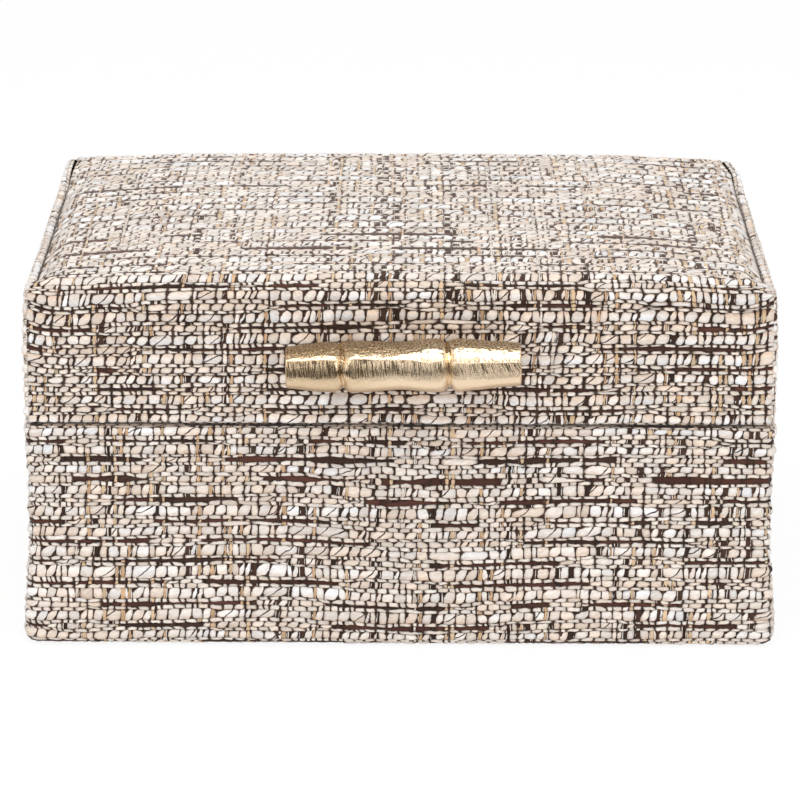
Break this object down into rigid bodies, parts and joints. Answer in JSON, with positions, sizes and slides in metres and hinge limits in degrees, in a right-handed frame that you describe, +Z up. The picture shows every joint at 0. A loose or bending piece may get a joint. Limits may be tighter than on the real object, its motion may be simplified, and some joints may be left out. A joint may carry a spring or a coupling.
{
  "type": "storage box",
  "caption": "Tweed-covered keepsake box with a padded lid that opens on brass stop hinges at the back and a cast bamboo bar handle on the front.",
  "frame": {"origin": "middle of the felt underside, on the surface that the box stands on", "axes": "+X to the right along the width, -Y towards the front with the handle, +Z up"},
  "size_m": [0.2, 0.1497, 0.105],
  "materials": {
    "tweed": "slubby plain-weave tweed in cream and dark brown",
    "board": "raw fibreboard",
    "lining": "brown faux suede over card",
    "foam": "open-cell foam",
    "felt": "thin black felt",
    "handle_brass": "sand-cast, brushed and lightly polished",
    "hinge_brass": "satin",
    "steel": "plain zinc"
  },
  "bodies": {
    "base": {"base_front_wall": "board", "base_back_wall": "board", "base_left_wall": "board", "base_right_wall": "board", "base_bottom_panel": "board", "base_wrap": "tweed", "underside_felt": "felt", "base_floor_lining": "lining", "base_lining_front": "lining", "base_lining_back": "lining", "base_lining_left": "lining", "base_lining_right": "lining", "hinge_left_base_leaf": "hinge_brass", "hinge_left_pin": "hinge_brass", "hinge_left_base_screw_1": "hinge_brass", "hinge_left_base_screw_2": "hinge_brass", "hinge_right_base_leaf": "hinge_brass", "hinge_right_pin": "hinge_brass", "hinge_right_base_screw_1": "hinge_brass", "hinge_right_base_screw_2": "hinge_brass"},
    "lid": {"lid_front_wall": "board", "lid_back_wall": "board", "lid_left_wall": "board", "lid_right_wall": "board", "lid_top_panel": "board", "lid_foam_pad": "foam", "lid_cover": "tweed", "lid_side_panel_left": "tweed", "lid_side_panel_right": "tweed", "lid_top_lining": "lining", "lid_lining_front": "lining", "lid_lining_back": "lining", "lid_lining_left": "lining", "lid_lining_right": "lining", "hinge_left_lid_leaf": "hinge_brass", "hinge_left_lid_screw_1": "hinge_brass", "hinge_left_lid_screw_2": "hinge_brass", "hinge_right_lid_leaf": "hinge_brass", "hinge_right_lid_screw_1": "hinge_brass", "hinge_right_lid_screw_2": "hinge_brass", "handle_bar": "handle_brass", "handle_post_left": "handle_brass", "handle_post_right": "handle_brass", "handle_washer_left": "steel", "handle_washer_right": "steel", "handle_screw_left": "steel", "handle_screw_right": "steel"}
  },
  "joints": [
    {"name": "lid_hinge", "type": "hinge", "parent": "base", "child": "lid", "pos_m": [0, 0.065, 0.063], "axis": [-1, 0, 0], "range_deg": [0, 95]}
  ]
}
